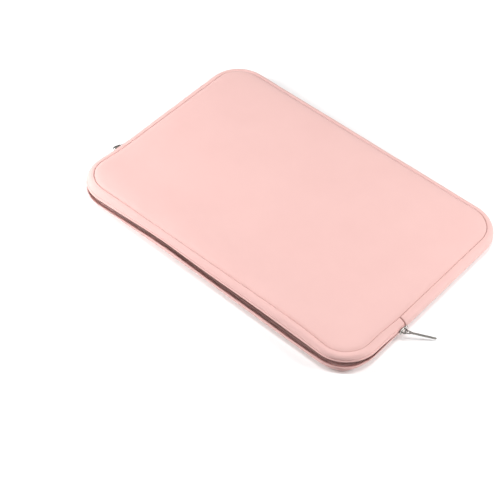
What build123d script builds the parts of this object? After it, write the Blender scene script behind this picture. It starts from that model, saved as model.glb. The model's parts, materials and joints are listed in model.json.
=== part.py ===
from build123d import *
import math
import os

# A padded laptop sleeve that lies flat. X runs along its long side, -Y is its mouth, +Z is up.
# The origin is the middle of its underside. All sizes are in millimetres.

# Driving dimensions of the sleeve
WIDTH = 360.0
DEPTH = 250.0
THICKNESS = 20.0
ROLL_R = 7.8          # outer radius of the rounded edge
ROLL_Z = 9.4          # height of the middle of the rounded edge
CORNER_R = 36.5       # outer corner radius, seen from above
PANEL_RISE_RUN = 12.0
BASE_DROP_RUN = 8.0

# Fabric laminate: skin, foam and lining
SKIN_T = 0.6
RIM_FOAM_T = 1.4      # the foam's thickness at a panel's rim
LINING_T = 0.6
ROLL_SKIN_T = 0.7
ROLL_FOAM_T = 2.4
ROLL_LINING_T = 0.6
SEAM_GAP = 1.0        # between a panel's rim and the rounded edge, where the binding lies
BINDING_T = 0.8
BINDING_COVER = 0.8   # the bindings stop this far below the seam's surface
BINDING_OVERHANG = 0.3

# Mouth
ZIP_END_Y = -43.5     # where the zip ends on both sides, and where the flap bends
BEND_GAP = 1.2
FLAP_REST_DEG = 4.6   # the front of the top panel stands this far open
LIP_EDGE_DEG = 9.0    # the lips' skins stop this far above and below mid height
LIP_FOAM_EDGE_DEG = 40.0

# Zip
TAPE_T = 0.6
TAPE_EDGE_DEG = 8.0
TAPE_FAR_DEG = 38.0
COIL_T = 1.6
COIL_WIDTH_DEG = 10.0

# Slider and pull
SLIDER_Y_RIGHT = -48.5
SLIDER_Y_LEFT = -58.5
SLIDER_LENGTH = 9.0
SLIDER_WIDE = 7.0
SLIDER_NARROW = 5.0
SLIDER_PLATE_T = 1.2
PLATE_CORNER = 1.0    # corner radius of the plates
SLIDER_RUN_GAP = 0.2  # between the outer plate and the lips
INNER_PLATE_T = 0.8
INNER_PLATE_GAP = 0.4
INNER_PLATE_W = 4.8
INNER_PLATE_NARROW = 3.8
POST_LENGTH = 2.0
POST_T = 0.8
POST_SETBACK = 0.6    # from the plates' mouth end
BRIDGE_T = 1.0
BRIDGE_ROUND = 1.2    # radius of the bridge's outer edges
BRIDGE_W = 1.6
BRIDGE_LENGTH = 6.4
BRIDGE_CLEAR = 3.0    # height inside the bridge
PULL_LENGTH = 32.0
PULL_W = 3.0
PULL_T = 1.0
PULL_BAR = 0.9
BAR_GAP = 0.5         # between the bar and the top of the bridge
PULL_EYE_W = 5.0
PULL_EYE_HOLE_W = 3.6
PULL_EYE_HOLE_L = 4.8
PULL_EYE_END = 1.0    # from the eye's hole to its shoulder
PULL_NECK_END = 3.0   # from the eye's hole to the end of the neck
PULL_TIP_SLANT = 2.0
PULL_RIGHT_YAW = 36.5
PULL_LEFT_YAW = 97.0
PULL_DROOP_RIGHT = 13.0
PULL_DROOP_LEFT = 11.0

# Worked out from the driving dimensions
SEAM_X = WIDTH / 2 - ROLL_R
SEAM_Y = DEPTH / 2 - ROLL_R
SEAM_R = CORNER_R - ROLL_R
SEAM_TOP_Z = ROLL_Z + ROLL_R
SEAM_BASE_Z = ROLL_Z - ROLL_R
REAR_EDGE_Y = ZIP_END_Y + BEND_GAP / 2
FLAP_EDGE_Y = ZIP_END_Y - BEND_GAP / 2
FAR = 400.0
BEND_AXIS = Axis((0, ZIP_END_Y, THICKNESS), (-1, 0, 0))


def in_rear(shape):
    """Keep what lies behind the bend."""
    return shape & Pos(0, REAR_EDGE_Y + FAR / 2, 0) * Box(2 * FAR, FAR, FAR)


def in_front(shape):
    """Keep what lies in front of the bend."""
    return shape & Pos(0, FLAP_EDGE_Y - FAR / 2, 0) * Box(2 * FAR, FAR, FAR)


def opened(shape):
    """Turn a piece of the closed flap to where it rests, a little open."""
    return shape.rotate(BEND_AXIS, FLAP_REST_DEG)


def outline(z, inset):
    """The seam's rounded rectangle at height z, moved in by inset."""
    size_x = 2 * (SEAM_X - inset)
    size_y = 2 * (SEAM_Y - inset)
    return Plane.XY.offset(z) * RectangleRounded(size_x, size_y, SEAM_R - inset)


def crowned_block(rim_z, face_z, run):
    """A slab with a flat face at face_z that slopes to rim_z round its rim."""
    mid_z = THICKNESS / 2
    core = extrude(outline(mid_z, SEAM_GAP), rim_z - mid_z)
    crown = loft([outline(rim_z, SEAM_GAP).face(), outline(face_z, SEAM_GAP + run).face()], ruled=True)
    return core + crown


def slab(z_low, z_high):
    """A flat slab with the panels' outline."""
    return extrude(outline(z_low, SEAM_GAP), z_high - z_low)


def top_panel():
    """The top panel's skin, foam and lining. The foam is squeezed thin at its rim."""
    outer = crowned_block(SEAM_TOP_Z, THICKNESS, PANEL_RISE_RUN)
    padding = crowned_block(SEAM_TOP_Z - SKIN_T, THICKNESS - SKIN_T, PANEL_RISE_RUN)
    lining_z = SEAM_TOP_Z - SKIN_T - RIM_FOAM_T - LINING_T
    return {
        "outer_skin": outer - padding,
        "foam": padding - slab(0, lining_z + LINING_T),
        "lining": slab(lining_z, lining_z + LINING_T),
    }


def bottom_panel():
    """The bottom panel's skin, foam and lining."""
    outer = crowned_block(SEAM_BASE_Z, 0, BASE_DROP_RUN)
    padding = crowned_block(SEAM_BASE_Z + SKIN_T, SKIN_T, BASE_DROP_RUN)
    lining_z = SEAM_BASE_Z + SKIN_T + RIM_FOAM_T
    return {
        "outer_skin": outer - padding,
        "foam": padding - slab(lining_z, THICKNESS),
        "lining": slab(lining_z, lining_z + LINING_T),
    }


def ring_point(radius, degrees):
    """A point of the rounded edge's section: 0 degrees points outwards, 90 up."""
    turn = math.radians(degrees)
    return (radius * math.cos(turn), radius * math.sin(turn))


def ring_section(start_y, r_out, r_in, low_deg, high_deg):
    """A part of a ring in the section plane that stands at the right-hand seam."""
    mid_deg = (low_deg + high_deg) / 2
    outer = ThreePointArc(
        ring_point(r_out, low_deg), ring_point(r_out, mid_deg), ring_point(r_out, high_deg)
    )
    inner = ThreePointArc(
        ring_point(r_in, high_deg), ring_point(r_in, mid_deg), ring_point(r_in, low_deg)
    )
    first = Line(ring_point(r_in, low_deg), ring_point(r_out, low_deg))
    last = Line(ring_point(r_out, high_deg), ring_point(r_in, high_deg))
    plane = Plane(origin=(SEAM_X, start_y, ROLL_Z), x_dir=(1, 0, 0), z_dir=(0, -1, 0))
    return plane * make_face(Wire([first.edge(), outer.edge(), last.edge(), inner.edge()]).edges())


def along_edge(r_out, r_in, low_deg, high_deg, side):
    """A ring section carried along the edge: round the back (side 1) or round the mouth (side -1)."""
    start_y = REAR_EDGE_Y if side > 0 else FLAP_EDGE_Y
    corners = [
        (SEAM_X, start_y, ROLL_Z),
        (SEAM_X, side * SEAM_Y, ROLL_Z),
        (-SEAM_X, side * SEAM_Y, ROLL_Z),
        (-SEAM_X, start_y, ROLL_Z),
    ]
    path = FilletPolyline(*corners, radius=SEAM_R)
    return sweep(ring_section(start_y, r_out, r_in, low_deg, high_deg), path=path)


def seam_binding(z_low, z_high):
    """The tape that holds a panel's rim to the rounded edge, all the way round."""
    clear = (SEAM_GAP - BINDING_T) / 2
    band = outline(z_low, clear) - outline(z_low, clear + BINDING_T)
    return extrude(band, z_high - z_low)


def panel_nodes():
    """The layers of the bottom panel, the rear of the top panel and its flap."""
    nodes = {}
    for name, layer in bottom_panel().items():
        nodes["bottom_" + name] = layer
    for name, layer in top_panel().items():
        nodes["top_" + name + "_rear"] = in_rear(layer)
        nodes["top_" + name + "_flap"] = opened(in_front(layer))
    return nodes


def edge_nodes():
    """The layers of the rounded edge round the back, and of the mouth's two lips."""
    skin_in = ROLL_R - ROLL_SKIN_T
    foam_in = skin_in - ROLL_FOAM_T
    lining_in = foam_in - ROLL_LINING_T
    nodes = {
        "gusset_outer_skin": along_edge(ROLL_R, skin_in, -90, 90, 1),
        "gusset_foam": along_edge(skin_in, foam_in, -90, 90, 1),
        "gusset_lining": along_edge(foam_in, lining_in, -90, 90, 1),
    }
    lips = {
        "skin": (ROLL_R, skin_in, LIP_EDGE_DEG),
        "foam": (skin_in, foam_in, LIP_FOAM_EDGE_DEG),
        "lining": (foam_in, lining_in, LIP_FOAM_EDGE_DEG),
    }
    for name, (r_out, r_in, edge_deg) in lips.items():
        nodes["upper_lip_" + name] = opened(along_edge(r_out, r_in, edge_deg, 90, -1))
        nodes["lower_lip_" + name] = along_edge(r_out, r_in, -90, -edge_deg, -1)
    return nodes


def zip_nodes():
    """The woven tape and the coil along each lip."""
    tape_out = ROLL_R - ROLL_SKIN_T
    tape_in = tape_out - TAPE_T
    coil_in = tape_in - COIL_T
    coil_far_deg = TAPE_EDGE_DEG + COIL_WIDTH_DEG
    return {
        "upper_zip_tape": opened(along_edge(tape_out, tape_in, TAPE_EDGE_DEG, TAPE_FAR_DEG, -1)),
        "lower_zip_tape": along_edge(tape_out, tape_in, -TAPE_FAR_DEG, -TAPE_EDGE_DEG, -1),
        "upper_zip_coil": opened(along_edge(tape_in, coil_in, TAPE_EDGE_DEG, coil_far_deg, -1)),
        "lower_zip_coil": along_edge(tape_in, coil_in, -coil_far_deg, -TAPE_EDGE_DEG, -1),
    }


def binding_nodes():
    """The seam bindings under the top panel's rim and over the bottom panel's rim."""
    drop = ROLL_SKIN_T + ROLL_FOAM_T + ROLL_LINING_T + BINDING_OVERHANG
    upper = seam_binding(SEAM_TOP_Z - drop, SEAM_TOP_Z - BINDING_COVER)
    lower = seam_binding(SEAM_BASE_Z + BINDING_COVER, SEAM_BASE_Z + drop)
    return {
        "upper_seam_binding_rear": in_rear(upper),
        "upper_seam_binding_flap": opened(in_front(upper)),
        "lower_seam_binding": lower,
    }


def slider_plate(x_low, thickness, wide, narrow):
    """A slider's plate, wide towards the mouth, standing in a plane across X."""
    half = SLIDER_LENGTH / 2
    shape = make_face(
        Polyline(
            (-half, -wide / 2), (0, -wide / 2), (half, -narrow / 2),
            (half, narrow / 2), (0, wide / 2), (-half, wide / 2), close=True,
        )
    )
    plane = Plane(origin=(x_low, 0, ROLL_Z), x_dir=(0, 1, 0), z_dir=(1, 0, 0))
    plate = extrude(plane * shape, thickness)
    return fillet(plate.edges().filter_by(Axis.X), PLATE_CORNER)


def right_slider():
    """The slider's body, its bridge and the place of the pull's bar, at y = 0 on the right side."""
    outer_x = WIDTH / 2 + SLIDER_RUN_GAP
    coil_in_x = SEAM_X + ROLL_R - ROLL_SKIN_T - TAPE_T - COIL_T
    inner_x = coil_in_x - INNER_PLATE_GAP - INNER_PLATE_T
    outer = slider_plate(outer_x, SLIDER_PLATE_T, SLIDER_WIDE, SLIDER_NARROW)
    inner = slider_plate(inner_x, INNER_PLATE_T, INNER_PLATE_W, INNER_PLATE_NARROW)
    post_size_x = outer_x - inner_x
    post_y = -SLIDER_LENGTH / 2 + POST_LENGTH / 2 + POST_SETBACK
    post = Pos(inner_x + post_size_x / 2, post_y, ROLL_Z) * Box(post_size_x, POST_LENGTH, POST_T)
    body = outer + post + inner
    face_x = outer_x + SLIDER_PLATE_T
    block = Pos(face_x + (BRIDGE_CLEAR + BRIDGE_T) / 2, 0, ROLL_Z) * Box(
        BRIDGE_CLEAR + BRIDGE_T, BRIDGE_LENGTH, BRIDGE_W
    )
    block = fillet(block.edges().filter_by(Axis.Z).group_by(Axis.X)[-1], BRIDGE_ROUND)
    window = Pos(face_x + BRIDGE_CLEAR / 2, 0, ROLL_Z) * Box(
        BRIDGE_CLEAR, BRIDGE_LENGTH - 2 * BRIDGE_T, 2 * BRIDGE_W
    )
    return body, block - window, face_x + BRIDGE_CLEAR - BAR_GAP - PULL_BAR / 2


def pull_tab(bar_x, yaw, droop):
    """A flat pull that stands on edge, its bar under the bridge at y = 0, turned towards the back."""
    end = PULL_LENGTH
    shoulder = PULL_EYE_HOLE_L + PULL_EYE_END
    neck_end = PULL_EYE_HOLE_L + PULL_NECK_END
    shape = make_face(
        Polyline(
            (-PULL_BAR / 2, -PULL_EYE_W / 2), (shoulder, -PULL_EYE_W / 2),
            (neck_end, -PULL_W / 2), (end - PULL_TIP_SLANT, -PULL_W / 2),
            (end, PULL_W / 2), (neck_end, PULL_W / 2),
            (shoulder, PULL_EYE_W / 2), (-PULL_BAR / 2, PULL_EYE_W / 2), close=True,
        )
    )
    hole_mid = PULL_BAR / 2 + (PULL_EYE_HOLE_L - PULL_BAR) / 2
    shape -= Pos(hole_mid, 0) * Rectangle(PULL_EYE_HOLE_L - PULL_BAR, PULL_EYE_HOLE_W)
    upright = Plane(origin=(0, PULL_T / 2, 0), x_dir=(1, 0, 0), z_dir=(0, -1, 0))
    tab = extrude(upright * shape, PULL_T)
    tab = tab.rotate(Axis.Y, droop).rotate(Axis.Z, yaw)
    return Pos(bar_x, 0, ROLL_Z) * tab


def slider_nodes():
    """Both sliders with their bridges and pulls; the left ones are mirrored."""
    body, bridge, bar_x = right_slider()
    nodes = {}
    for side, slider_y, yaw, droop in (
        ("right", SLIDER_Y_RIGHT, PULL_RIGHT_YAW, PULL_DROOP_RIGHT),
        ("left", SLIDER_Y_LEFT, PULL_LEFT_YAW, PULL_DROOP_LEFT),
    ):
        pieces = {
            side + "_slider_body": body,
            side + "_slider_bridge": bridge,
            side + "_pull_tab": pull_tab(bar_x, yaw, droop),
        }
        for name, piece in pieces.items():
            placed = Pos(0, slider_y, 0) * piece
            nodes[name] = placed if side == "right" else mirror(placed, about=Plane.YZ)
    return nodes


def main():
    os.makedirs("parts", exist_ok=True)
    nodes = {}
    for group in (panel_nodes, edge_nodes, zip_nodes, binding_nodes, slider_nodes):
        nodes.update(group())
    for name, shape in nodes.items():
        export_step(shape, "parts/" + name + ".step")
        print(name, len(shape.solids()), round(shape.volume, 1))


main()
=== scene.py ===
"""The looks of a padded laptop sleeve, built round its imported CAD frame. Lengths are in metres."""
import json
import math
from collections import namedtuple

import bmesh
import bpy
import numpy as np
from mathutils import Matrix, Vector, noise


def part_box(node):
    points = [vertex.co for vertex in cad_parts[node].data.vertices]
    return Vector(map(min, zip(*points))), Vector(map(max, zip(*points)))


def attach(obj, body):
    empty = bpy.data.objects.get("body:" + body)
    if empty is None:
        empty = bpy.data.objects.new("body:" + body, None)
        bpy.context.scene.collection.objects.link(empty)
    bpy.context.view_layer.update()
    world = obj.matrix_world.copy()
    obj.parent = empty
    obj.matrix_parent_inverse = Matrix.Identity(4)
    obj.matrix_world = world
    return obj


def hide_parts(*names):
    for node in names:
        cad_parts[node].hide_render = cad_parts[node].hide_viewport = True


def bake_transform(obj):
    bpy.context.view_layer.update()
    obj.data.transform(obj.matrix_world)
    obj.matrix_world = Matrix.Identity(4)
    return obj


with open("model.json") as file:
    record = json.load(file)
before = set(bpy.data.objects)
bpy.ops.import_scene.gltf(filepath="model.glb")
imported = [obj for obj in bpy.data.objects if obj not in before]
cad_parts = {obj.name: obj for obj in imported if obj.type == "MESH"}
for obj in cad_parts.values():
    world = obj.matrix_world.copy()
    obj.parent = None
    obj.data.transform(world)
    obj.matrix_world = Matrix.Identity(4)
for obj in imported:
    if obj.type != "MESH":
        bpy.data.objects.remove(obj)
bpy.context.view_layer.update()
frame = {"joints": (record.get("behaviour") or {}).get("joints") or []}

MM = 0.001

# ---------------- sizes, read from the frame
roll_low, roll_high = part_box("gusset_outer_skin")
ROLL_R = (roll_high.z - roll_low.z) / 2  # outer radius of the rounded edge
ROLL_Z = (roll_high.z + roll_low.z) / 2
CORNER_R = 36.5 * MM
SEAM_R = CORNER_R - ROLL_R  # the seam's corner radius, seen from above
INNER_X = roll_high.x - CORNER_R  # the straight sides run between these
INNER_Y = roll_high.y - CORNER_R
TOP_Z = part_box("top_outer_skin_rear")[1].z
SEAM_TOP_Z = ROLL_Z + ROLL_R
SEAM_BASE_Z = ROLL_Z - ROLL_R
LINING_TOP_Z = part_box("top_lining_rear")[0].z  # the upper lining's underside
LINING_BASE_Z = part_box("bottom_lining")[1].z  # the lower lining's top
joints = {j["name"]: j for j in frame["joints"]}
BEND_Y, BEND_Z = joints["mouth_open"]["pos_m"][1:]
REST_ANGLE = -math.radians(joints["mouth_open"]["range_deg"][0])

# ---------------- sizes of what Blender adds
BEND_START_Y = BEND_Y + 3.5 * MM  # the flap's fabric bends between these
BEND_END_Y = BEND_Y - 62 * MM
SKIN_T = 0.7 * MM
PAD_T = 3.1 * MM  # skin and foam of the rounded edge
LINING_T = 0.6 * MM
STEP = 2.0 * MM  # along the edge
CORNER_STEPS = 26
GROOVE_W = 0.9 * MM  # the seam's crease, half its width
GROOVE_D = 1.6 * MM
SLACK_SHARE = 0.55  # how much shallower the crease is at the back and the left
RIM_RINGS = [0.12, 0.2, 0.4, 0.7, 1.1, 1.7, 2.5, 3.6, 5.0, 6.8, 9.0, 11.6, 14.6, 18.0, 21.6, 25.2]
CROWN_RUN = 9.0 * MM
BASE_RUN = 5.0 * MM
SHOULDER = 0.42  # the part of a crown's rise that its shoulder makes
SHOULDER_RUN = 1.5 * MM
FACE_DEG = 83.5  # the rounded edge's outer face ends this far round, at each crease
FACE_POINTS = 41
INSIDE_DEG = 86  # the same for its inner face
LIP_EDGE_DEG = 6.2
LIP_FOAM_DEG = 42.0
TAPE_R = 6.8 * MM
TAPE_T = 0.5 * MM
TAPE_EDGE_DEG = 4.0
TAPE_FAR_DEG = 38.0
COIL_R = 5.75 * MM  # the coil's middle, from the edge's middle
COIL_HEIGHT = 1.35 * MM
COIL_PITCH = 1.5 * MM
COIL_WIRE_R = 0.24 * MM
COIL_ACROSS = 0.62 * MM  # the coil's radii across the edge and upwards
COIL_RISE = 0.50 * MM
COIL_STEPS = 10  # points in each turn
FRONT_START_Y = -80 * MM
LIP_SPREAD = 4.2 * MM  # how far the lower lip spreads beyond the upper one
LIP_FULLNESS = 1.1 * MM  # how far the upper lip stands out at the right of the mouth
STITCH_DEG = 21.0
STITCH_DIP = 0.8 * MM
STITCH_DIP_DEG = 2.7  # half the width of the groove that the stitches pull in
STITCH_PITCH = 3.2 * MM
STITCH_LENGTH = 2.5 * MM
STITCH_R = 0.26 * MM
LIP_FACE_DEG = [
    FACE_DEG, 80, 76, 72, 67, 62, 57, 52, 47, 42, 37, 32, 29, 27, 25.5,
    24, 22.5, 21, 19.5, 18, 16.5, 15, 13, 10, 8, LIP_EDGE_DEG,
]
# How the hems wander down along the mouth: each dip's depth, its middle and its width along X, in mm.
HEM_DIPS = [(1.5, 112, 22), (-2.2, -55, 30), (3.0, -155, 35)]

PLATE_T = 1.2 * MM  # the slider's outer plate
PLATE_BEVEL = 0.35 * MM
INNER_PLATE_T = 0.8 * MM
INNER_PLATE_WIDE = 4.8 * MM
INNER_PLATE_NARROW = 3.8 * MM
INNER_BEVEL = 0.25 * MM
POST_SETBACK = 1.6 * MM  # from the plates' mouth end to the post's middle
RING_R = 1.3 * MM
RING_HOLE_R = 0.65 * MM
RING_T = 0.6 * MM
RING_TILT_DEG = -30
BRIDGE_BAND = 0.95 * MM
BRIDGE_STEPS = 24
BRIDGE_SQUARE = 0.6  # below 1, the bridge's arch is squarer than an ellipse
PULL_END = 32 * MM
PULL_T = 1.0 * MM
PULL_SLANT = 2.0 * MM  # how far its tip slants
PULL_TURNS = {"right": (36.5, 13), "left": (97, 11)}  # each pull's yaw and droop, in degrees

FLOOR_REACH = 6.0
FLOOR_GLOW_FROM = 0.40  # the floor fades to pure white between these distances
FLOOR_GLOW_TO = 1.1
FILL_LIGHT = 0.24  # the world's strength for everything but the backdrop
# Each light's name, place, target, size and power.
LIGHTS = [
    ("overhead", (0.12, -0.02, 1.4), (0, 0, 0), 0.4, 7.8),
    ("left", (-0.66, -0.55, 0.42), (0, 0, 0), 0.4, 8.9),
    ("right", (0.78, 0.45, 0.55), (0, 0, 0), 0.5, 7.8),
    ("rim", (-0.68, 0.55, 0.91), (-0.18, -0.06, 0), 0.3, 0.2),
]
CAMERA_PLACE = (0.62625, -0.83112, 1.12891)
CAMERA_TARGET = (0.00503, -0.06402, 0)
CAMERA_ROLL_DEG = 2.7
CAMERA_LENS = 109.95  # on a sensor that is 36 wide


# ---------------- mesh helpers
def new_object(name, verts, faces, cloth=None):
    """A mesh piece with faces that look outwards. cloth has each point's two lengths along the fabric."""
    mesh = bpy.data.meshes.new(name)
    mesh.from_pydata([tuple(v) for v in verts], [], [tuple(f) for f in faces])
    if cloth is not None:
        attribute = mesh.attributes.new("cloth", "FLOAT_VECTOR", "POINT")
        flat = np.zeros((len(verts), 3), np.float32)
        flat[:, :2] = cloth
        attribute.data.foreach_set("vector", flat.ravel())
    mesh.validate()
    edit = bmesh.new()
    edit.from_mesh(mesh)
    bmesh.ops.recalc_face_normals(edit, faces=edit.faces)
    edit.to_mesh(mesh)
    edit.free()
    mesh.shade_smooth()
    piece = bpy.data.objects.new(name, mesh)
    bpy.context.scene.collection.objects.link(piece)
    return piece


def loop_faces(rings, size, start=0, closed=False):
    """Faces that join rings of points in turn. An open run also gets a cap at each end."""
    faces = []
    for i in range(rings if closed else rings - 1):
        here, ahead = start + i * size, start + (i + 1) % rings * size
        for k in range(size):
            m = (k + 1) % size
            faces.append((here + k, here + m, ahead + m, ahead + k))
    if not closed:
        faces.append(tuple(range(start, start + size)))
        faces.append(tuple(range(start + (rings - 1) * size, start + rings * size)))
    return faces


def smooth_step(t):
    """0 below 0, 1 above 1, and smooth between."""
    t = np.clip(t, 0, 1)
    return t * t * (3 - 2 * t)


def lifted(points):
    """Bend the closed flap's points up to where the mouth rests, a little open."""
    out = np.array(points, float)
    turn = REST_ANGLE * smooth_step((BEND_START_Y - out[:, 1]) / (BEND_START_Y - BEND_END_Y))
    y = out[:, 1] - BEND_Y
    z = out[:, 2] - BEND_Z
    out[:, 1] = BEND_Y + y * np.cos(turn) + z * np.sin(turn)
    out[:, 2] = BEND_Z - y * np.sin(turn) + z * np.cos(turn)
    return out


def bump(values, middle, width):
    """A smooth hump of height 1."""
    return np.exp(-(((values - middle) / width) ** 2) / 2)


def hem_drop(x, y):
    """How far the hems wander down at the mouth, for both lips alike, so that they meet when closed."""
    front = smooth_step((FRONT_START_Y - y) / (25 * MM))
    drop = sum(depth * bump(x, middle * MM, width * MM) for depth, middle, width in HEM_DIPS)
    return front * drop * MM


def crease_depth(x, y):
    """How deep the seam's crease is: shallower along the back and the left, where the fabric is slack."""
    back = smooth_step((y - 100 * MM) / (12 * MM)) * smooth_step((165 * MM - x) / (25 * MM))
    left = smooth_step((-x - 150 * MM) / (15 * MM))
    return GROOVE_D * (1 - SLACK_SHARE * np.maximum(back, left))


def crease_depths(places):
    """The crease's depth at each station of the edge."""
    seam = places[:, :2] + places[:, 2:] * SEAM_R
    return crease_depth(seam[:, 0], seam[:, 1])


def relaxed_flap(points):
    """Let the flap sag and pull in where the unzipped mouth hangs freely. Points are of the closed flap."""
    out = np.array(points, float)
    x, y, z = out.T
    below = np.clip((SEAM_TOP_Z - z) / ROLL_R, 0, 1)
    apex = bump(x, 152 * MM, 20 * MM) * bump(y, -114 * MM, 20 * MM)
    side = bump(x, 174 * MM, 10 * MM) * bump(y, -73 * MM, 15 * MM)
    out[:, 0] = x - (1.5 - 0.7 * below) * MM * side
    out[:, 1] = y - 2.0 * MM * apex
    out[:, 2] = z - (1.6 - 0.9 * below) * MM * apex - below * hem_drop(x, y)
    return out


def relaxed_base(points):
    """Let the lower lip spread on the table at the mouth, most at the right, and lean back at its edge."""
    out = np.array(points, float)
    x, y, z = out.T
    up = np.clip((z - SEAM_BASE_Z) / ROLL_R, 0, 1)
    front = smooth_step((FRONT_START_Y - 12 * MM - y) / (24 * MM))
    right = 0.25 + 0.75 * smooth_step((x + 60 * MM) / (180 * MM))
    corner = smooth_step((x - 120 * MM) / (40 * MM)) * smooth_step((-100 * MM - y) / (18 * MM))
    out[:, 0] = x + 2.2 * MM * corner * (1 - 0.5 * up**2)
    out[:, 1] = y - LIP_SPREAD * front * right * (1 - 0.5 * up**2)
    out[:, 2] = z - up**2 * hem_drop(x, y)
    return out


def straight(start, end, step):
    """Even steps from start up to end, without end."""
    count = max(1, round(math.dist(start, end) / step))
    return [tuple(np.array(start) + (np.array(end) - np.array(start)) * i / count) for i in range(count)]


def flap_shape(points):
    """From the closed flap's points to where they rest."""
    return lifted(relaxed_flap(points))


def stations(side, step=STEP, corner_steps=CORNER_STEPS):
    """Places round the back (1) or the mouth (-1), each as (base x, base y, outward x, outward y)."""
    found = []
    for x, y in straight((INNER_X, BEND_Y), (INNER_X, side * INNER_Y), step):
        found.append((x, y, 1, 0))
    for i in range(corner_steps):
        turn = math.pi / 2 * i / corner_steps
        found.append((INNER_X, side * INNER_Y, math.cos(turn), side * math.sin(turn)))
    for x, y in straight((INNER_X, side * INNER_Y), (-INNER_X, side * INNER_Y), step):
        found.append((x, y, 0, side))
    for i in range(corner_steps):
        turn = math.pi / 2 * (1 + i / corner_steps)
        found.append((-INNER_X, side * INNER_Y, math.cos(turn), side * math.sin(turn)))
    for x, y in straight((-INNER_X, side * INNER_Y), (-INNER_X, BEND_Y), step):
        found.append((x, y, -1, 0))
    found.append((-INNER_X, BEND_Y, -1, 0))
    return np.array(found)


def closed_stations():
    """Places all the way round the edge, each once."""
    return np.vstack([stations(1)[:-1], stations(-1)[::-1][:-1]])


def lengths_along(places, radius):
    """Distance along the path that runs at radius from the bases."""
    points = places[:, :2] + places[:, 2:] * radius
    gaps = np.linalg.norm(np.diff(points, axis=0), axis=1)
    return np.concatenate([[0], np.cumsum(gaps)])


def swept(name, places, sections, shape=None, closed_path=False, swell=None):
    """A closed section carried along the edge. sections has one list of (radius, height) for each place."""
    count, size = len(places), len(sections[0])
    sections = np.array(sections)
    radius, height = sections[:, :, 0], sections[:, :, 1]
    x = places[:, None, 0] + places[:, None, 2] * radius
    y = places[:, None, 1] + places[:, None, 3] * radius
    points = np.stack([x, y, height], axis=2).reshape(-1, 3)
    along = np.repeat(lengths_along(places, SEAM_R), size)
    around = np.array([lengths_round(s) for s in sections]).ravel()
    if swell is not None:
        points = swell(points, along, sections)
    if shape is not None:
        points = shape(points)
    faces = loop_faces(count, size, closed=closed_path)
    return new_object(name, points, faces, np.stack([along, around], axis=1))


def lengths_round(section):
    """Distance round a section's outline, for the weave."""
    gaps = np.linalg.norm(np.diff(section, axis=0), axis=1)
    return np.concatenate([[0], np.cumsum(gaps)])


def arc(radius, start_deg, end_deg, count):
    """Points of the rounded edge's section, as (radius from the base, height): 0 degrees outwards, 90 up."""
    turns = np.radians(np.linspace(start_deg, end_deg, count))
    return [(SEAM_R + radius * math.cos(t), ROLL_Z + radius * math.sin(t)) for t in turns]


def end_pinch(places, depth=0.7 * MM, reach=1.3 * MM):
    """How much the section shrinks at each place, to round off an open path's two ends."""
    along = lengths_along(places, SEAM_R)
    near = np.minimum(along, along[-1] - along)
    inside = np.clip(1 - near / reach, 0, 1)
    return depth * (1 - np.sqrt(1 - inside**2))


def with_fine_ends(places, inset):
    """Places with the ends moved in by inset and finer steps beside them."""
    steps = np.array([0, 0.1, 0.3, 0.6, 1.0, 1.5]) * MM + inset
    toward = np.sign(places[1][1] - places[0][1])
    first = np.array([(places[0][0], places[0][1] + toward * s, 1, 0) for s in steps])
    last = np.array([(places[-1][0], places[-1][1] + toward * s, -1, 0) for s in steps[::-1]])
    middle = [p for p in places if abs(p[1] - BEND_Y) > steps[-1] + 0.5 * MM or abs(p[3]) > 0]
    return np.vstack([first, np.array(middle), last])


# ---------------- how the fabric swells and puckers
def wobble(points, scale, seed):
    """Smooth noise from -1 to 1 at each point."""
    places = [Vector((p[0] * scale + seed, p[1] * scale - seed, p[2] * scale)) for p in points]
    return np.array([noise.noise(place) for place in places])


def pucker(along, seed):
    """Uneven waves along a seam, from -1 to 1, where the stitching gathers the fabric."""
    places = [Vector((a / (7.5 * MM) + seed, seed * 0.37, 0)) for a in along]
    fine = [Vector((a / (3.6 * MM) - seed, seed, 0)) for a in along]
    return np.array([noise.noise(p) + 0.5 * noise.noise(q) for p, q in zip(places, fine)])


def seam_pull(y):
    """How strongly the seam gathers the fabric: most at the mouth."""
    return 0.30 + 0.70 * smooth_step((BEND_Y - y) / (45 * MM))


# ---------------- panels
# Flat points, their distances from the seam and lengths along it, faces, and the rim's point count.
Panel = namedtuple("Panel", "flat from_seam along faces rim_count")


def panel_heights(rim_z, face_z, run):
    """A crowned panel's height at each of its points, with a crease at the seam."""
    inside = np.maximum(PANEL.from_seam - GROOVE_W, 0)
    rise = 1 - SHOULDER * np.exp(-inside / SHOULDER_RUN) - (1 - SHOULDER) * np.exp(-inside / run)
    fall = 1 - np.sqrt(1 - np.clip(1 - PANEL.from_seam / GROOVE_W, 0, 1) ** 2)
    dip = crease_depth(PANEL.flat[:, 0], PANEL.flat[:, 1]) * fall
    return rim_z + (face_z - rim_z) * rise - math.copysign(1, face_z - rim_z) * dip


def panel_grid():
    """A panel's outer rings: places, flat points, distances from the seam, lengths along it, faces."""
    places = closed_stations()
    count = len(places)
    along = lengths_along(places, SEAM_R)
    points, from_seam, run_along, faces = [], [], [], []
    rings = [r * MM for r in RIM_RINGS]
    for inset in rings:
        radius = SEAM_R - inset
        points += [(p[0] + p[2] * radius, p[1] + p[3] * radius) for p in places]
        from_seam += [inset] * count
        run_along += list(along)
    for ring in range(len(rings) - 1):
        for i in range(count):
            j = (i + 1) % count
            a, b = ring * count, (ring + 1) * count
            faces.append((a + i, a + j, b + j, b + i))
    return places, np.array(points), np.array(from_seam), np.array(run_along), faces


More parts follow.
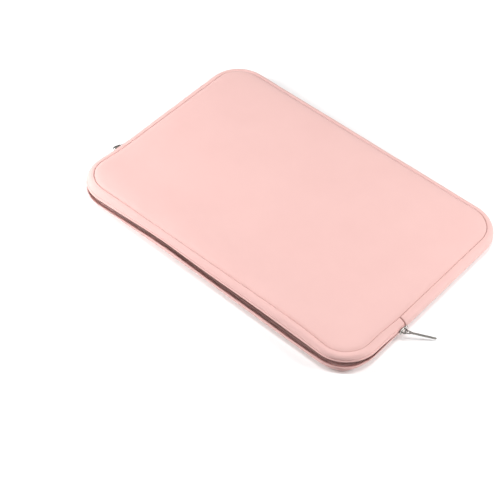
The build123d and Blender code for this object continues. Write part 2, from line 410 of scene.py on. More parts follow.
def panel_surface():
    """The panel grid with its middle filled by a rectangular mesh that shares the inner ring's stations."""
    places, points, from_seam, along, faces = panel_grid()
    count = len(places)
    inner_start = len(points) - count
    lookup, extra, extra_from = {}, [], []

    def key(x, y):
        return (round(x / (0.01 * MM)), round(y / (0.01 * MM)))

    xs = sorted({round(p[0], 7) for p in places})
    ys = sorted({round(p[1], 7) for p in places})
    for y in ys:
        for x in xs:
            lookup[key(x, y)] = len(points) + len(extra)
            extra.append((x, y))
            extra_from.append(SEAM_R + min(INNER_X - abs(x), INNER_Y - abs(y)))
    grid_points = np.vstack([points, np.array(extra)])
    for i in range(count):
        j = (i + 1) % count
        a, b = lookup[key(*places[i][:2])], lookup[key(*places[j][:2])]
        corner = [inner_start + i, inner_start + j, b, a]
        faces.append(tuple(dict.fromkeys(corner)))
    for row in range(len(ys) - 1):
        for column in range(len(xs) - 1):
            a = lookup[key(xs[column], ys[row])]
            b = lookup[key(xs[column + 1], ys[row])]
            c = lookup[key(xs[column + 1], ys[row + 1])]
            d = lookup[key(xs[column], ys[row + 1])]
            faces.append((a, b, c, d))
    from_all = np.concatenate([from_seam, extra_from])
    along_all = np.concatenate([along, np.zeros(len(extra))])
    return Panel(grid_points, from_all, along_all, faces, count)


PANEL = panel_surface()


def closed_panel(name, face_heights, back_z, shape):
    """A panel closed by a flat back at back_z, joined round its rim."""
    size = len(PANEL.flat)
    count = PANEL.rim_count
    front = np.column_stack([PANEL.flat, face_heights])
    back = np.column_stack([PANEL.flat, np.full(size, back_z)])
    points = shape(np.vstack([front, back]))
    rim = [(i, (i + 1) % count, size + (i + 1) % count, size + i) for i in range(count)]
    backs = [tuple(size + v for v in reversed(f)) for f in PANEL.faces]
    return new_object(name, points, PANEL.faces + rim + backs, np.vstack([PANEL.flat, PANEL.flat]))


def face_puckers(strength, seed):
    """Small heights that gather the panel's fabric at its seam and leave it faintly uneven elsewhere."""
    from_seam = PANEL.from_seam
    points = np.column_stack([PANEL.flat, np.zeros(len(PANEL.flat))])
    near_seam = np.exp(-from_seam / (6.5 * MM)) * (1 - np.exp(-from_seam / (1.2 * MM)))
    waves = pucker(PANEL.along, seed) * near_seam
    waves[len(RIM_RINGS) * PANEL.rim_count:] = 0
    slow = wobble(points, 1 / (55 * MM), seed) * smooth_step(from_seam / (20 * MM))
    middle = wobble(points, 1 / (19 * MM), seed + 3) * smooth_step(from_seam / (9 * MM))
    return strength * (0.55 * waves * seam_pull(points[:, 1]) + 0.30 * slow + 0.07 * middle) * MM


def make_top_panel():
    """The top panel's skin and foam, as one sheet that bends."""
    heights = panel_heights(SEAM_TOP_Z, TOP_Z, CROWN_RUN) + face_puckers(1.0, 4.0)
    return closed_panel("top_panel", heights, LINING_TOP_Z + LINING_T + 0.15 * MM, flap_shape)


def make_bottom_panel():
    """The bottom panel's skin and foam, flat where it rests."""
    heights = panel_heights(SEAM_BASE_Z, 0, BASE_RUN) + face_puckers(0.25, 11.0)
    back_z = LINING_BASE_Z - LINING_T - 0.15 * MM
    return closed_panel("bottom_panel", np.maximum(heights, 0), back_z, relaxed_base)


def make_lining(name, face_z, back_z, shape):
    """A panel's soft lining, with a slightly uneven face."""
    points = np.column_stack([PANEL.flat, np.zeros(len(PANEL.flat))])
    uneven = 0.12 * MM * wobble(points, 1 / (14 * MM), face_z * 900)
    return closed_panel(name, face_z + uneven, back_z, shape)


# ---------------- the rounded edge and the lips
def crease_side(pinch, tuck):
    """The upper crease's outer side, from its bottom up to its shoulder."""
    shoulder = min(tuck, 0.55 * MM + pinch)
    return [(SEAM_R + 0.15 * MM, SEAM_TOP_Z - tuck), (SEAM_R + 0.22 * MM, SEAM_TOP_Z - shoulder)]


def rolled_skin(pinch, tuck):
    """The gusset's section: its outer face between the two creases, and its inner face."""
    high = crease_side(pinch, tuck)
    low = [(r, 2 * ROLL_Z - z) for r, z in high]
    face = arc(ROLL_R - pinch, -FACE_DEG, FACE_DEG, FACE_POINTS)
    return low + face + high[::-1] + arc(ROLL_R - PAD_T, INSIDE_DEG, -INSIDE_DEG, 17)


def outward_of(points, places, size):
    """Each point's direction away from the middle of the rounded edge; size points belong to each place."""
    centre = np.repeat(places[:, :2] + places[:, 2:] * SEAM_R, size, axis=0)
    outward = points - np.column_stack([centre, np.full(len(points), ROLL_Z)])
    return outward / np.linalg.norm(outward, axis=1)[:, None]


def make_gusset():
    """The rounded edge's skin and foam, round the back from one zip end to the other."""
    places = with_fine_ends(stations(1), 0.5 * MM)
    pinches = end_pinch(places)

    def swell(points, along, sections):
        size = sections.shape[1]
        around = np.tile(np.arange(size), len(sections))
        outer = np.isin(around, np.arange(3, FACE_POINTS + 1))
        outward = outward_of(points, places, size)
        slow = wobble(points, 1 / (34 * MM), 7.0) * 0.22 * MM
        near_seam = np.exp(-(np.pi / 2 - np.abs(np.arcsin(np.clip(outward[:, 2], -1, 1)))) / 0.5)
        waves = pucker(along, 21.0) * near_seam * 0.16 * MM
        return points + outward * ((slow + waves) * outer)[:, None]

    sections = [rolled_skin(p, t) for p, t in zip(pinches, crease_depths(places))]
    return swept("gusset", places, sections, swell=swell)


def lip_section(pinch, sign, tuck):
    """A lip's section from its crease to its hem. sign is 1 for the upper lip and -1 for the lower."""
    outer = ROLL_R - pinch
    edge = math.radians(LIP_EDGE_DEG)
    hem_r = SKIN_T / 2
    hem_at = ROLL_R - hem_r - pinch
    hem = []
    for k in range(1, 6):
        turn = math.pi * k / 6
        radial = hem_at + hem_r * math.cos(turn)
        back = hem_r * math.sin(turn)
        x = radial * math.cos(edge) + back * math.sin(edge)
        z = radial * math.sin(edge) - back * math.cos(edge)
        hem.append((SEAM_R + x, ROLL_Z + z))
    thin = arc(ROLL_R - SKIN_T - pinch, LIP_EDGE_DEG, LIP_FOAM_DEG - 4, 8)
    thick = arc(ROLL_R - PAD_T, LIP_FOAM_DEG + 4, INSIDE_DEG, 8)
    points = crease_side(pinch, tuck) + lip_face(outer) + hem + thin + thick
    return [(r, ROLL_Z + sign * (z - ROLL_Z)) for r, z in points]


def lip_face(outer):
    """A lip's outer face from its crease to its hem, with the groove that its top stitches pull in."""
    points = []
    for degrees in LIP_FACE_DEG:
        dip = STITCH_DIP * bump(degrees, STITCH_DEG, STITCH_DIP_DEG)
        points += arc(outer - dip, degrees, degrees, 1)
    return points


def lip_shape(sign):
    """How the upper (1) or the lower (-1) lip's points are moved to where they rest."""
    return flap_shape if sign > 0 else relaxed_base


def make_lip(name, sign):
    """A lip runs from one zip end round the mouth to the other."""
    places = with_fine_ends(stations(-1), 0.5 * MM)
    pinches = end_pinch(places)
    outer_points = 2 + len(LIP_FACE_DEG)

    def swell(points, along, sections):
        size = sections.shape[1]
        index = np.tile(np.arange(size), len(sections))
        outer = (index >= 2) & (index < outer_points)
        toward_seam = np.clip(1 - (index - 2) / outer_points, 0, 1)
        outward = outward_of(points, places, size)
        gathers = pucker(along, 4.0 if sign > 0 else 31.0) * toward_seam**2 * 0.34 * MM
        slow = wobble(points, 1 / (28 * MM), 13.0 * sign) * 0.2 * MM
        pull = seam_pull(points[:, 1])
        turn = np.degrees(np.arcsin(np.clip(sign * outward[:, 2], -1, 1)))
        rightward = smooth_step((points[:, 0] - 20 * MM) / (90 * MM))
        frontward = smooth_step((FRONT_START_Y - points[:, 1]) / (25 * MM))
        full = LIP_FULLNESS * bump(turn, 52, 15) * rightward * frontward * (sign > 0)
        return points + outward * ((gathers * pull + slow + full) * outer * (index > 3))[:, None]

    sections = [lip_section(p, sign, t) for p, t in zip(pinches, crease_depths(places))]
    return swept(name, places, sections, lip_shape(sign), swell=swell)


def make_edge_lining(name, side, low_deg, high_deg, shape=None):
    """The lining inside the rounded edge or a lip."""
    outer = ROLL_R - PAD_T - 0.05 * MM
    section = arc(outer, low_deg, high_deg, 13) + arc(outer - LINING_T, high_deg, low_deg, 13)
    places = stations(side)
    return swept(name, places, [section] * len(places), shape)


def make_binding(name, top_z, low_z, shape):
    """The tape folded into a seam, all the way round."""
    half = 0.36 * MM
    turns = np.linspace(0, math.pi, 7)
    cap = [(SEAM_R + half * math.cos(t), top_z - half + half * math.sin(t)) for t in turns]
    foot = [(SEAM_R - half, low_z), (SEAM_R + half, low_z)]
    places = closed_stations()
    return swept(name, places, [cap + foot] * len(places), shape, closed_path=True)


# ---------------- the zip
def make_tape(name, sign):
    """A woven strip under a lip's hem, up to the coil."""
    outer = arc(TAPE_R + TAPE_T / 2, TAPE_EDGE_DEG, TAPE_FAR_DEG, 9)
    inner = arc(TAPE_R - TAPE_T / 2, TAPE_FAR_DEG, TAPE_EDGE_DEG, 9)
    section = [(r, ROLL_Z + sign * (z - ROLL_Z)) for r, z in outer + inner]
    places = stations(-1)
    return swept(name, places, [section] * len(places), lip_shape(sign))


def path_frames(count, radius, height, inset):
    """Even points along the mouth's edge, with their outward and forward directions."""
    places = stations(-1, 1.0 * MM, 60)
    along = lengths_along(places, radius)
    wanted = np.linspace(inset, along[-1] - inset, count)
    columns = [np.interp(wanted, along, places[:, k]) for k in range(4)]
    outward = np.stack([columns[2], columns[3]], axis=1)
    outward /= np.linalg.norm(outward, axis=1)[:, None]
    centre = np.stack([columns[0], columns[1]], axis=1) + outward * radius
    centre = np.column_stack([centre, np.full(count, height)])
    outward = np.column_stack([outward, np.zeros(count)])
    forward = np.gradient(centre, axis=0)
    forward /= np.linalg.norm(forward, axis=1)[:, None]
    return centre, outward, forward


def tube(name, line, radius, sides):
    """A round wire along a line of points."""
    line = np.array(line)
    forward = np.gradient(line, axis=0)
    forward /= np.linalg.norm(forward, axis=1)[:, None]
    side = np.cross(forward, np.array([0, 0, 1.0]))
    side /= np.maximum(np.linalg.norm(side, axis=1), 1e-9)[:, None]
    up = np.cross(side, forward)
    turns = np.arange(sides) * 2 * math.pi / sides
    rings = [line + radius * (math.cos(t) * side + math.sin(t) * up) for t in turns]
    points = np.stack(rings, axis=1).reshape(-1, 3)
    return new_object(name, points, loop_faces(len(line), sides))


def make_coil(name, sign):
    """The zip's coil: one nylon wire wound along the tape's edge."""
    length = lengths_along(stations(-1), SEAM_R + COIL_R)[-1]
    turns = int(length / COIL_PITCH) - 2
    count = turns * COIL_STEPS
    centre, outward, forward = path_frames(count, SEAM_R + COIL_R, ROLL_Z + sign * COIL_HEIGHT, 2 * MM)
    angle = np.arange(count) * 2 * math.pi / COIL_STEPS
    across = COIL_ACROSS * np.cos(angle)[:, None] * outward
    rise = np.column_stack([np.zeros(count), np.zeros(count), COIL_RISE * np.sin(angle)])
    line = centre + across + rise
    return tube(name, lip_shape(sign)(line), COIL_WIRE_R, 5)


def make_stitches(name, sign):
    """A row of top stitches along a lip's edge. Each is a short thread that dips in at its ends."""
    turn = math.radians(STITCH_DEG)
    radius = SEAM_R + ROLL_R * math.cos(turn)
    height = ROLL_Z + sign * ROLL_R * math.sin(turn)
    length = lengths_along(stations(-1), radius)[-1]
    count = int((length - 8 * MM) / STITCH_PITCH)
    centre, outward, forward = path_frames(count, radius, height, 4 * MM)
    normal = outward * math.cos(turn) + np.array([0, 0, sign * math.sin(turn)])
    sides, rings = 6, 7
    points, faces = [], []
    for i in range(count):
        faces += loop_faces(rings, sides, start=len(points))
        side = np.cross(normal[i], forward[i])
        for k in range(rings):
            t = k / (rings - 1) * 2 - 1
            depth = STITCH_DIP + (0.28 * t * t - 0.06) * MM
            middle = centre[i] + forward[i] * t * STITCH_LENGTH / 2 - normal[i] * depth
            width = STITCH_R * math.sqrt(max(0.12, 1 - 0.75 * t * t))
            for m in range(sides):
                a = 2 * math.pi * m / sides
                points.append(middle + width * (math.cos(a) * side + math.sin(a) * normal[i]))
    return new_object(name, lip_shape(sign)(points), faces)


# ---------------- sliders and pulls
def plate(name, outlines, thickness, bevel):
    """A flat plate with rounded edges. The first outline is its edge and any others are holes."""
    curve = bpy.data.curves.new(name, "CURVE")
    curve.dimensions = "2D"
    curve.fill_mode = "BOTH"
    curve.extrude = thickness / 2 - bevel
    curve.bevel_depth = bevel
    curve.bevel_resolution = 2
    curve.offset = -bevel
    for outline in outlines:
        spline = curve.splines.new("POLY")
        spline.points.add(len(outline) - 1)
        for point, (x, y) in zip(spline.points, outline):
            point.co = (x, y, 0, 1)
        spline.use_cyclic_u = True
    holder = bpy.data.objects.new(name + "_curve", curve)
    bpy.context.scene.collection.objects.link(holder)
    bpy.context.view_layer.update()
    mesh = bpy.data.meshes.new_from_object(holder.evaluated_get(bpy.context.evaluated_depsgraph_get()))
    bpy.data.objects.remove(holder)
    edit = bmesh.new()
    edit.from_mesh(mesh)
    bmesh.ops.remove_doubles(edit, verts=edit.verts, dist=0.002 * MM)
    bmesh.ops.recalc_face_normals(edit, faces=edit.faces)
    edit.to_mesh(mesh)
    edit.free()
    piece = bpy.data.objects.new(name, mesh)
    bpy.context.scene.collection.objects.link(piece)
    return piece


def rounded_outline(corners, radii, steps=6):
    """A polygon with each corner rounded to its own radius."""
    points = []
    count = len(corners)
    for i in range(count):
        here = Vector(corners[i])
        before = (Vector(corners[i - 1]) - here).normalized()
        after = (Vector(corners[(i + 1) % count]) - here).normalized()
        half = before.angle(after) / 2
        run = radii[i] / math.tan(half)
        middle = here + (before + after).normalized() * radii[i] / math.sin(half)
        first = here + before * run - middle
        last = here + after * run - middle
        for k in range(steps + 1):
            t = k / steps
            turn = first.lerp(last, t).normalized() * radii[i]
            points.append(tuple(middle + turn))
    return points


def circle(radius, steps=28):
    """An even circle of points."""
    turns = [2 * math.pi * k / steps for k in range(steps)]
    return [(radius * math.cos(t), radius * math.sin(t)) for t in turns]


def joined(name, pieces):
    """Several meshes as one piece."""
    edit = bmesh.new()
    for piece in pieces:
        mesh = piece.data
        mesh.transform(piece.matrix_world)
        edit.from_mesh(mesh)
        bpy.data.objects.remove(piece)
    mesh = bpy.data.meshes.new(name)
    edit.to_mesh(mesh)
    edit.free()
    mesh.shade_smooth()
    whole = bpy.data.objects.new(name, mesh)
    bpy.context.scene.collection.objects.link(whole)
    return whole


def placed(piece, matrix):
    """Move a piece's mesh, and keep its object at the origin."""
    piece.data.transform(matrix)
    piece.data.update()
    return piece


def facing_out(mirror, x, y, z):
    """From a plate drawn with its length along X and its height along Y, facing Z, to a slider's side."""
    turn = Matrix(((0, 0, mirror, 0), (1, 0, 0, 0), (0, 1, 0, 0), (0, 0, 0, 1)))
    return Matrix.Translation((mirror * x, y, z)) @ turn


def slider_plate_outline(length, wide, narrow):
    """A slider's plate: wide towards the mouth (-X here), and narrow at its tail."""
    half = length / 2
    corners = [
        (-half, -wide / 2), (0, -wide / 2), (half, -narrow / 2),
        (half, narrow / 2), (0, wide / 2), (-half, wide / 2),
    ]
    return rounded_outline(corners, [1.3 * MM, 1.8 * MM, 1.1 * MM, 1.1 * MM, 1.8 * MM, 1.3 * MM])


def make_slider(side):
    """The slider's two plates, the post that joins them, and the small ring at its tail."""
    low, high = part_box(side + "_slider_body")
    mirror = 1 if side == "right" else -1
    y, z = (low.y + high.y) / 2, (low.z + high.z) / 2
    outer_x, inner_x = max(abs(low.x), abs(high.x)), min(abs(low.x), abs(high.x))
    length, wide = high.y - low.y, high.z - low.z
    outer = plate("outer", [slider_plate_outline(length, wide, wide * 0.7)], PLATE_T, PLATE_BEVEL)
    placed(outer, facing_out(mirror, outer_x - PLATE_T / 2, y, z))
    inner_outline = slider_plate_outline(length, INNER_PLATE_WIDE, INNER_PLATE_NARROW)
    inner = plate("inner", [inner_outline], INNER_PLATE_T, INNER_BEVEL)
    placed(inner, facing_out(mirror, inner_x + INNER_PLATE_T / 2, y, z))
    wedge = [(-1.0, -0.32), (1.0, -0.24), (1.0, 0.24), (-1.0, 0.32)]
    nose = rounded_outline([(a * MM, b * MM) for a, b in wedge], [0.12 * MM] * 4)
    post = plate("post", [nose], outer_x - inner_x - 1.0 * MM, 0.05 * MM)
    placed(post, facing_out(mirror, (outer_x + inner_x) / 2, low.y + POST_SETBACK, z))
    ring = plate("ring", [circle(RING_R), circle(RING_HOLE_R)], RING_T, 0.2 * MM)
    tilt = Matrix.Rotation(math.radians(RING_TILT_DEG), 4, "X")
    placed(ring, facing_out(mirror, outer_x - 0.2 * MM, high.y + 0.7 * MM, z + 1.0 * MM) @ tilt)
    return joined(side + "_slider", [outer, inner, post, ring])


def make_bridge(side):
    """The arched band that holds the pull on the slider."""
    low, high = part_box(side + "_slider_bridge")
    mirror = 1 if side == "right" else -1
    foot_x = min(abs(low.x), abs(high.x))
    rise = max(abs(low.x), abs(high.x)) - foot_x + 0.3 * MM
    y, z = (low.y + high.y) / 2, (low.z + high.z) / 2
    half = (high.y - low.y) / 2
    outer, inner = [], []
    for k in range(BRIDGE_STEPS + 1):
        turn = math.pi * k / BRIDGE_STEPS
        reach = abs(math.cos(turn)) ** BRIDGE_SQUARE * math.copysign(1, math.cos(turn))
        height = math.sin(turn) ** BRIDGE_SQUARE
        outer.append((reach * half, height * rise))
        inner.append((reach * (half - BRIDGE_BAND), height * (rise - BRIDGE_BAND)))
    arch = plate("arch", [outer + inner[::-1]], high.z - low.z - 0.2 * MM, 0.3 * MM)
    turn = Matrix(((0, mirror, 0, 0), (1, 0, 0, 0), (0, 0, 1, 0), (0, 0, 0, 1)))
    placed(arch, Matrix.Translation((mirror * (foot_x - 0.25 * MM), y, z)) @ turn)
    return joined(side + "_bridge", [arch])


def make_pull(side):
    """The flat pull on edge: an eye round the bridge, a neck, a blade and a slanted tip."""
    joint = joints[side + "_pull_swing"]
    pivot = Vector(joint["pos_m"])
    mirror = 1 if side == "right" else -1
    yaw, droop = (math.radians(degrees) for degrees in PULL_TURNS[side])
    eye, blade_half, neck_start, neck_end = 2.2 * MM, 1.1 * MM, 4.6 * MM, 6.6 * MM
    back = -0.45 * MM
    edge = rounded_outline(
        [
            (back, -eye), (neck_start, -eye), (neck_end, -blade_half), (PULL_END - PULL_SLANT, -blade_half),
            (PULL_END, blade_half), (neck_end, blade_half), (neck_start, eye), (back, eye),
        ],
        [0.7 * MM, 1.4 * MM, 1.4 * MM, 0.8 * MM, 0.8 * MM, 1.4 * MM, 1.4 * MM, 0.7 * MM],
    )
    near, far, half = 0.45 * MM, 3.8 * MM, 1.6 * MM
    hole = rounded_outline([(near, -half), (far, -half), (far, half), (near, half)], [0.3 * MM] * 4)
    blade = plate("blade", [edge, hole], PULL_T, 0.22 * MM)
    upright = Matrix(((1, 0, 0, 0), (0, 0, -1, 0), (0, 1, 0, 0), (0, 0, 0, 1)))
    turned = Matrix.Rotation(yaw, 4, "Z") @ Matrix.Rotation(droop, 4, "Y") @ upright
    flip = Matrix.Diagonal((mirror, 1, 1, 1))
    placed(blade, Matrix.Translation(pivot) @ flip @ turned)
    return joined(side + "_pull", [blade])


# ---------------- materials
def new_material(name):
    """A node material, its nodes and links, and its Principled shader."""
    material = bpy.data.materials.new(name)
    material.use_nodes = True
    nodes, links = material.node_tree.nodes, material.node_tree.links
    return material, nodes, links, nodes["Principled BSDF"]


def linear(red, green, blue):
    """A screen colour from 0 to 255 as a linear one."""
    values = [c / 255 for c in (red, green, blue)]
    return tuple(((c + 0.055) / 1.055) ** 2.4 for c in values) + (1,)


def add_noise(nodes, links, vector, scale, detail=3.0, roughness=0.55):
    """A noise texture in metres."""
    texture = nodes.new("ShaderNodeTexNoise")
    texture.inputs["Scale"].default_value = scale
    texture.inputs["Detail"].default_value = detail
    texture.inputs["Roughness"].default_value = roughness
    links.new(vector, texture.inputs["Vector"])
    return texture.outputs["Fac"]


def add_math(nodes, links, operation, first, second):
    """A maths node; each input is a socket or a number."""
    node = nodes.new("ShaderNodeMath")
    node.operation = operation
    for slot, value in zip(node.inputs, (first, second)):
        if isinstance(value, (int, float)):
            slot.default_value = value
        else:
            links.new(value, slot)
    return node.outputs[0]


def add_mix(nodes, links, amount, first, second):
    """A mix of two colours."""
    node = nodes.new("ShaderNodeMix")
    node.data_type = "RGBA"
    links.new(amount, node.inputs["Factor"])
    for slot, value in ((node.inputs["A"], first), (node.inputs["B"], second)):
        if isinstance(value, tuple):
            slot.default_value = value
        else:
            links.new(value, slot)
    return node.outputs["Result"]


def add_ramp(nodes, links, value, low, high, bottom=0.0, top=1.0):
    """Stretch a value between low and high to one between bottom and top."""
    node = nodes.new("ShaderNodeMapRange")
    for socket, number in (("From Min", low), ("From Max", high), ("To Min", bottom), ("To Max", top)):
        node.inputs[socket].default_value = number
    links.new(value, node.inputs["Value"])
    return node.outputs["Result"]


def add_bump(nodes, links, height, distance, strength, under=None):
    """A bump from a height, over another one."""
    node = nodes.new("ShaderNodeBump")
    node.inputs["Distance"].default_value = distance
    node.inputs["Strength"].default_value = strength
    links.new(height, node.inputs["Height"])
    if under is not None:
        links.new(under, node.inputs["Normal"])
    return node.outputs["Normal"]


def knit_height(nodes, links, pitch):
    """The height of a fine knit, from the lengths along the cloth."""
    cloth = nodes.new("ShaderNodeAttribute")
    cloth.attribute_name = "cloth"
    split = nodes.new("ShaderNodeSeparateXYZ")
    links.new(cloth.outputs["Vector"], split.inputs[0])
    waves = []
    for socket in ("X", "Y"):
        turns = add_math(nodes, links, "MULTIPLY", split.outputs[socket], 2 * math.pi / pitch)
        waves.append(add_math(nodes, links, "SINE", turns, 0.0))
    return add_math(nodes, links, "MULTIPLY", waves[0], waves[1])


def object_point(nodes):
    """A point's place on its own object, in metres."""
    return nodes.new("ShaderNodeTexCoord").outputs["Object"]


def fabric_material():
    """Smooth knit on foam: a faint mottle, a fine knit whose hollows get painted shade, and soft unevenness.
    """
    material, nodes, links, shader = new_material("outer_fabric")
    colour, deeper = linear(220, 180, 175), linear(217, 176, 171)
    point = object_point(nodes)
    mottle = add_noise(nodes, links, point, 26, 4)
    fine = add_noise(nodes, links, point, 900, 3)
    knit = knit_height(nodes, links, 0.9 * MM)
    tone = add_ramp(nodes, links, mottle, 0.30, 0.72)
    base = add_mix(nodes, links, tone, colour, deeper)
    # Painted shade: the colour deepens in the knit's hollows, following the knit's height.
    threads = add_ramp(nodes, links, knit, -2.6, 1.0)
    shaded = add_mix(nodes, links, threads, deeper, base)
    links.new(shaded, shader.inputs["Base Color"])
    links.new(add_ramp(nodes, links, fine, 0, 1, 0.74, 0.92), shader.inputs["Roughness"])
    uneven = add_noise(nodes, links, point, 120, 4)
    soft = add_bump(nodes, links, uneven, 0.35 * MM, 0.25)
    woven = add_bump(nodes, links, knit, 0.05 * MM, 0.6, soft)
    grainy = add_bump(nodes, links, fine, 0.06 * MM, 0.5, woven)
    links.new(grainy, shader.inputs["Normal"])
    shader.inputs["Sheen Weight"].default_value = 0.35
    shader.inputs["Sheen Roughness"].default_value = 0.45
    shader.inputs["Sheen Tint"].default_value = (1.0, 0.86, 0.84, 1)
    shader.inputs["Specular IOR Level"].default_value = 0.25
    return material


def lining_material():
    """Brushed fleece: short uneven nap in two tones, darker in the clumps' hollows as painted shade; its
    deep pink is partly the fleece's own colour and partly painted shade of the mouth's inside.
    """
    material, nodes, links, shader = new_material("lining_fleece")
    point = object_point(nodes)
    clumps = add_noise(nodes, links, point, 260, 5, 0.65)
    nap = add_noise(nodes, links, point, 1500, 4, 0.7)
    # Painted shade: darker where the clumps dip; the deep pink is partly the fleece's own colour and partly
    # painted shade.
    tone = add_ramp(nodes, links, clumps, 0.32, 0.70)
    base = add_mix(nodes, links, tone, linear(176, 128, 124), linear(206, 160, 156))
    links.new(base, shader.inputs["Base Color"])
    shader.inputs["Roughness"].default_value = 0.95
    raised = add_bump(nodes, links, clumps, 0.5 * MM, 0.6)
    links.new(add_bump(nodes, links, nap, 0.15 * MM, 0.8, raised), shader.inputs["Normal"])
    shader.inputs["Sheen Weight"].default_value = 0.5
    shader.inputs["Sheen Roughness"].default_value = 0.5
    return material


def ribbed_material(name, colour, deeper, pitch):
    """Woven tape: ribs along its length crossed by fine threads, with painted shade in the weave's hollows.
    """
    material, nodes, links, shader = new_material(name)
    point = object_point(nodes)
    knit = knit_height(nodes, links, pitch)
    fine = add_noise(nodes, links, point, 1400, 3)
    # Painted shade: the deeper colour fills the weave's hollows, following its height.
    base = add_mix(nodes, links, add_ramp(nodes, links, knit, -1.0, 1.0), deeper, colour)
    links.new(base, shader.inputs["Base Color"])
    shader.inputs["Roughness"].default_value = 0.8
    raised = add_bump(nodes, links, knit, 0.12 * MM, 0.7)
    links.new(add_bump(nodes, links, fine, 0.05 * MM, 0.5, raised), shader.inputs["Normal"])
    return material


def thread_material(name, colour, roughness):
    """Spun thread or nylon: a slight mottle and fine fibres."""
    material, nodes, links, shader = new_material(name)
    point = object_point(nodes)
    fibres = add_noise(nodes, links, point, 2600, 3)
    deeper = tuple(c * 0.86 for c in colour[:3]) + (1,)
    links.new(add_mix(nodes, links, fibres, colour, deeper), shader.inputs["Base Color"])
    shader.inputs["Roughness"].default_value = roughness
    links.new(add_bump(nodes, links, fibres, 0.05 * MM, 0.5), shader.inputs["Normal"])
    return material


def metal_material(name, colour, rough_low, rough_high, stretch):
    """Plated metal with faint brushing and small dull spots."""
    material, nodes, links, shader = new_material(name)
    point = object_point(nodes)
    mapping = nodes.new("ShaderNodeMapping")
    mapping.inputs["Scale"].default_value = stretch
    links.new(point, mapping.inputs["Vector"])
    brushed = add_noise(nodes, links, mapping.outputs["Vector"], 500, 4)
    spots = add_noise(nodes, links, point, 350, 4)
    wear = add_math(nodes, links, "MULTIPLY", brushed, spots)
    rough = add_ramp(nodes, links, wear, 0.12, 0.42, rough_low, rough_high)
    links.new(rough, shader.inputs["Roughness"])
    deeper = tuple(c * 0.8 for c in colour[:3]) + (1,)
    tone = add_ramp(nodes, links, spots, 0.35, 0.7)
    links.new(add_mix(nodes, links, tone, colour, deeper), shader.inputs["Base Color"])
    shader.inputs["Metallic"].default_value = 1.0
    links.new(add_bump(nodes, links, brushed, 0.02 * MM, 0.5), shader.inputs["Normal"])
    return material


OUTER = fabric_material()
LINING = lining_material()
TAPE = ribbed_material("zip_tape", linear(228, 172, 166), linear(196, 136, 130), 0.8 * MM)
COIL = thread_material("zip_coil_nylon", linear(226, 168, 160), 0.42)
THREAD = thread_material("stitch_thread", linear(232, 184, 178), 0.75)
BINDING = thread_material("seam_binding_tape", linear(172, 132, 124), 0.85)
SLIDER_METAL = metal_material("slider_nickel", linear(205, 202, 197), 0.14, 0.34, (1, 1, 1))
# The bridge is the slider's nickel painted darker: painted shade and painted dark reflection between the
# slider's parts.
BRIDGE_METAL_PAINTED_DARK = metal_material("bridge_nickel_painted_dark", linear(128, 125, 120), 0.16, 0.36, (1, 1, 1))
# The pull's metal is painted dark grey: painted dark reflection along its edge.
PULL_METAL_PAINTED_DARK = metal_material("pull_metal_painted_dark", linear(140, 137, 132), 0.20, 0.42, (0.2, 0.2, 2.0))


# ---------------- putting it together
def dress(piece, material, nodes, body="sleeve", bends=False):
    """Give a piece its material, the CAD nodes it stands for, and the body it moves with."""
    piece.data.materials.clear()
    piece.data.materials.append(material)
    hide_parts(*nodes)
    if bends:
        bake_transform(piece)
    else:
        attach(piece, body)
    return piece


def build_fabric():
    """The panels, the rounded edge and the lips."""
    top = dress(
        make_top_panel(), OUTER,
        ["top_outer_skin_rear", "top_outer_skin_flap", "top_foam_rear", "top_foam_flap"], bends=True,
    )
    bottom = dress(make_bottom_panel(), OUTER, ["bottom_outer_skin", "bottom_foam"])
    gusset = dress(make_gusset(), OUTER, ["gusset_outer_skin", "gusset_foam"])
    upper = make_lip("upper_lip", 1)
    dress(upper, OUTER, ["upper_lip_skin", "upper_lip_foam"], bends=True)
    lower = make_lip("lower_lip", -1)
    dress(lower, OUTER, ["lower_lip_skin", "lower_lip_foam"])


def build_lining():
    """The fleece on the inside of each padded piece."""
    top = make_lining("top_lining", LINING_TOP_Z, LINING_TOP_Z + LINING_T, flap_shape)
    dress(top, LINING, ["top_lining_rear", "top_lining_flap"], bends=True)
    bottom = make_lining("bottom_lining_face", LINING_BASE_Z, LINING_BASE_Z - LINING_T, relaxed_base)
    dress(bottom, LINING, ["bottom_lining"])
    dress(make_edge_lining("gusset_lining_face", 1, -88, 88), LINING, ["gusset_lining"])
    upper = make_edge_lining("upper_lip_lining_face", -1, LIP_FOAM_DEG, 88, flap_shape)
    dress(upper, LINING, ["upper_lip_lining"], bends=True)
    lower = make_edge_lining("lower_lip_lining_face", -1, -88, -LIP_FOAM_DEG, relaxed_base)
    dress(lower, LINING, ["lower_lip_lining"])


def build_seams():
    """The bindings in the seams and the stitches along the lips."""
    upper = make_binding("upper_seam_tape", SEAM_TOP_Z - 0.75 * MM, SEAM_TOP_Z - 4.0 * MM, flap_shape)
    dress(upper, BINDING, ["upper_seam_binding_rear", "upper_seam_binding_flap"], bends=True)
    lower = make_binding("lower_seam_tape", SEAM_BASE_Z + 4.0 * MM, SEAM_BASE_Z + 0.75 * MM, relaxed_base)
    dress(lower, BINDING, ["lower_seam_binding"])
    dress(make_stitches("upper_lip_stitches", 1), THREAD, [], bends=True)
    dress(make_stitches("lower_lip_stitches", -1), THREAD, [])


def build_zip():
    """Tapes, coils, sliders and pulls."""
    dress(make_tape("upper_tape", 1), TAPE, ["upper_zip_tape"], bends=True)
    dress(make_tape("lower_tape", -1), TAPE, ["lower_zip_tape"])
    dress(make_coil("upper_coil", 1), COIL, ["upper_zip_coil"], bends=True)
    dress(make_coil("lower_coil", -1), COIL, ["lower_zip_coil"])
    for side in ("right", "left"):
        dress(make_slider(side), SLIDER_METAL, [side + "_slider_body"], side + "_slider")
        dress(make_bridge(side), BRIDGE_METAL_PAINTED_DARK, [side + "_slider_bridge"], side + "_slider")
        dress(make_pull(side), PULL_METAL_PAINTED_DARK, [side + "_pull_tab"], side + "_pull")


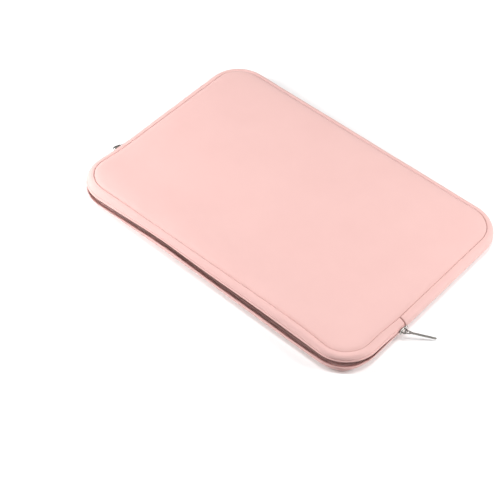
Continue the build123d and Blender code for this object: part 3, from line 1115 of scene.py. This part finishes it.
# ---------------- stage, light and camera
def build_stage():
    """A plain white table top that reaches past the view; away from the sleeve it glows with painted light
    that fades it to pure white.
    """
    reach, low = FLOOR_REACH, -0.1 * MM
    corners = [(-reach, -reach, low), (reach, -reach, low), (reach, reach, low), (-reach, reach, low)]
    floor = new_object("floor", corners, [(0, 1, 2, 3)])
    material, nodes, links, shader = new_material("floor_white")
    shader.inputs["Base Color"].default_value = (0.93, 0.93, 0.93, 1)
    shader.inputs["Roughness"].default_value = 0.9
    distance = nodes.new("ShaderNodeVectorMath")
    distance.operation = "LENGTH"
    links.new(object_point(nodes), distance.inputs[0])
    # Painted light: the floor glows, from none near the sleeve to full beyond FLOOR_GLOW_TO.
    shader.inputs["Emission Color"].default_value = (1, 1, 1, 1)
    glow = add_ramp(nodes, links, distance.outputs["Value"], FLOOR_GLOW_FROM, FLOOR_GLOW_TO)
    links.new(glow, shader.inputs["Emission Strength"])
    floor.data.materials.append(material)


def facing(place, target):
    """The turn that points a light or the camera at its target."""
    return (Vector(target) - Vector(place)).to_track_quat("-Z", "Y")


def area_light(name, place, target, size, power):
    """A round soft light that faces its target."""
    light = bpy.data.lights.new(name, "AREA")
    light.shape = "DISK"
    light.size = size
    light.energy = power
    holder = bpy.data.objects.new(name, light)
    holder.location = place
    holder.rotation_euler = facing(place, target).to_euler()
    bpy.context.scene.collection.objects.link(holder)


def build_light():
    """A white backdrop, a weak fill and the soft lights."""
    world = bpy.data.worlds.new("studio")
    world.use_nodes = True
    nodes, links = world.node_tree.nodes, world.node_tree.links
    nodes["Background"].inputs["Color"].default_value = (1, 1, 1, 1)
    backdrop = nodes.new("ShaderNodeLightPath").outputs["Is Camera Ray"]
    strength = add_math(nodes, links, "MAXIMUM", backdrop, FILL_LIGHT)
    links.new(strength, nodes["Background"].inputs["Strength"])
    bpy.context.scene.world = world
    for light in LIGHTS:
        area_light(*light)
    bpy.context.scene.view_settings.view_transform = "Standard"


def build_camera():
    """The camera looks at the mouth from the right and above, with a slight roll."""
    data = bpy.data.cameras.new("camera")
    data.sensor_width = 36
    data.lens = CAMERA_LENS
    camera = bpy.data.objects.new("camera", data)
    turn = facing(CAMERA_PLACE, CAMERA_TARGET).to_matrix().to_4x4()
    roll = Matrix.Rotation(math.radians(CAMERA_ROLL_DEG), 4, "Z")
    camera.matrix_world = Matrix.Translation(CAMERA_PLACE) @ turn @ roll
    bpy.context.scene.collection.objects.link(camera)
    bpy.context.scene.camera = camera


build_camera()
build_fabric()
build_lining()
build_seams()
build_zip()
build_stage()
build_light()
